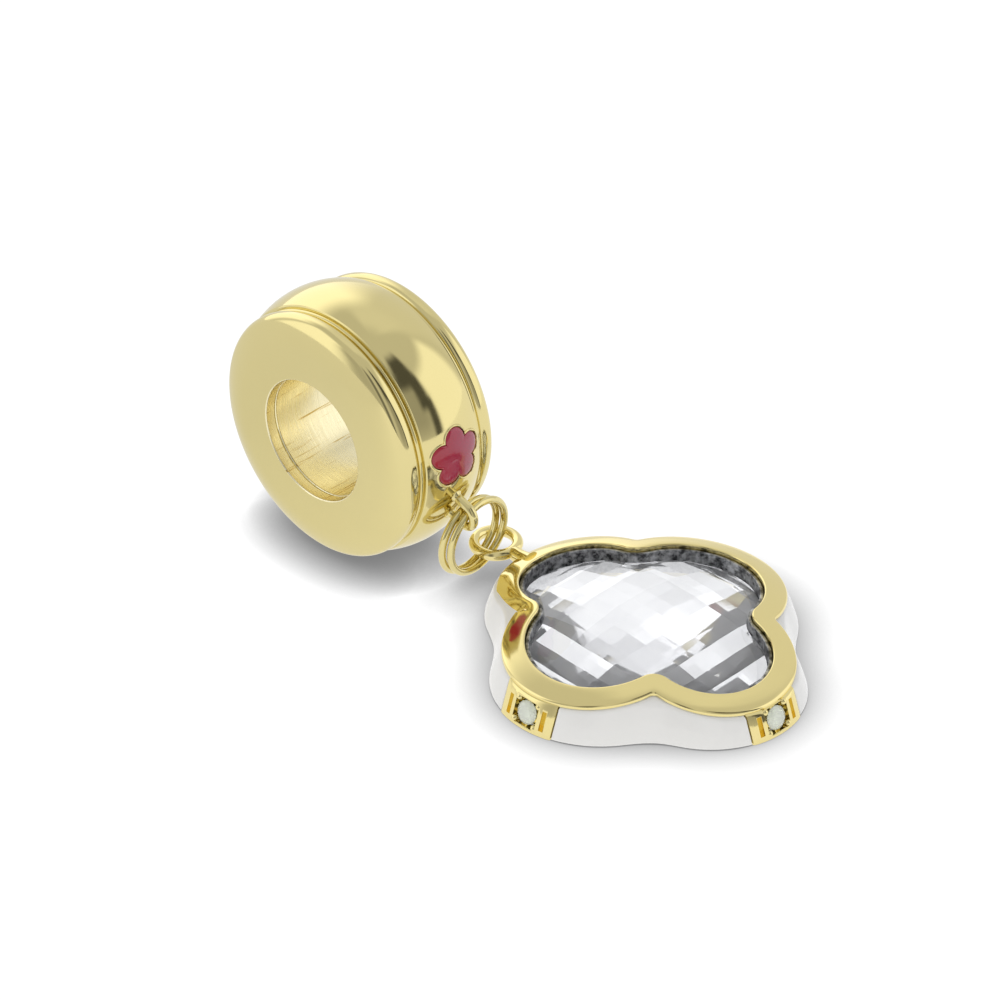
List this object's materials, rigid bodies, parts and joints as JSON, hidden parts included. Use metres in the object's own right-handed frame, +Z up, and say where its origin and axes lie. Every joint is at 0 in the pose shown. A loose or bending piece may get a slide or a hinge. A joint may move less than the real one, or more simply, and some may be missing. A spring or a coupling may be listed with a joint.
{
  "type": "clover charm",
  "caption": "Large-hole gold bead charm with a crimson blossom, and a four-lobed clover pendant with a chequer-cut clear stone, white enamel sides and small side stones on a double jump ring.",
  "frame": {"origin": "on the surface that the charm lies on, under the middle of its footprint", "axes": "+Z up; +X from the bead to the clover pendant, in the plane of the surface; +Y along the bead's bore"},
  "size_m": [0.0258, 0.0132, 0.0108],
  "materials": {
    "gold": "polished pale gold plate",
    "crimson_enamel": "glossy opaque enamel",
    "white_enamel": "glossy opaque white enamel",
    "grey_lining": "mottled dark grey foiled metal",
    "crystal": "clear cut crystal",
    "side_crystal": "clear cut crystal"
  },
  "bodies": {
    "root": {"bead": "gold", "jump_ring_left": "gold", "jump_ring_right": "gold", "clover_frame": "gold", "bead_blossom": "crimson_enamel", "well_lining": "grey_lining", "clover_stone": "crystal", "enamel_back_left": "white_enamel", "enamel_front_left": "white_enamel", "enamel_front_right": "white_enamel", "enamel_back_right": "white_enamel", "side_stone_left": "side_crystal", "side_stone_front": "side_crystal", "side_stone_right": "side_crystal"}
  },
  "joints": []
}
